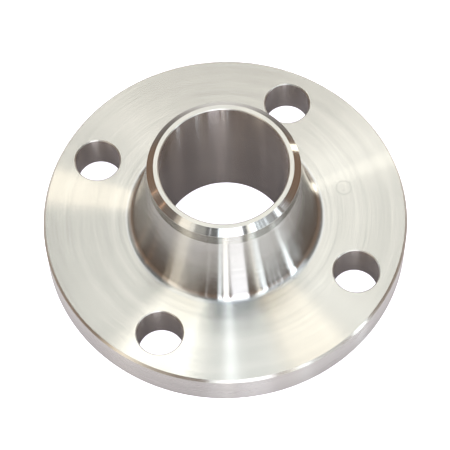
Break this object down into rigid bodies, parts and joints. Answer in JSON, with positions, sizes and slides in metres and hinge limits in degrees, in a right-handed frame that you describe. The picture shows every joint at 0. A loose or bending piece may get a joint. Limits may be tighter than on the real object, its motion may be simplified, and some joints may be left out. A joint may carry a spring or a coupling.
{
  "type": "weld neck flange",
  "caption": "Round pipe flange with a tapered hub for butt welding, a raised gasket face and a drilled bolting ring, turned from one stainless forging.",
  "frame": {"origin": "centre of the bore on the plane of the raised gasket face, which is the lowest plane of the part", "axes": "+Z along the bore, from the gasket face to the weld end; +X and +Y are the centrelines that the bolt holes straddle"},
  "size_m": [0.1524, 0.1524, 0.0621],
  "materials": {
    "stainless_steel": "turned: satin ring, gasket face, bore and holes, polished hub, bevel and chamfers"
  },
  "bodies": {
    "root": {"weld_neck_flange": "stainless_steel"}
  },
  "joints": []
}
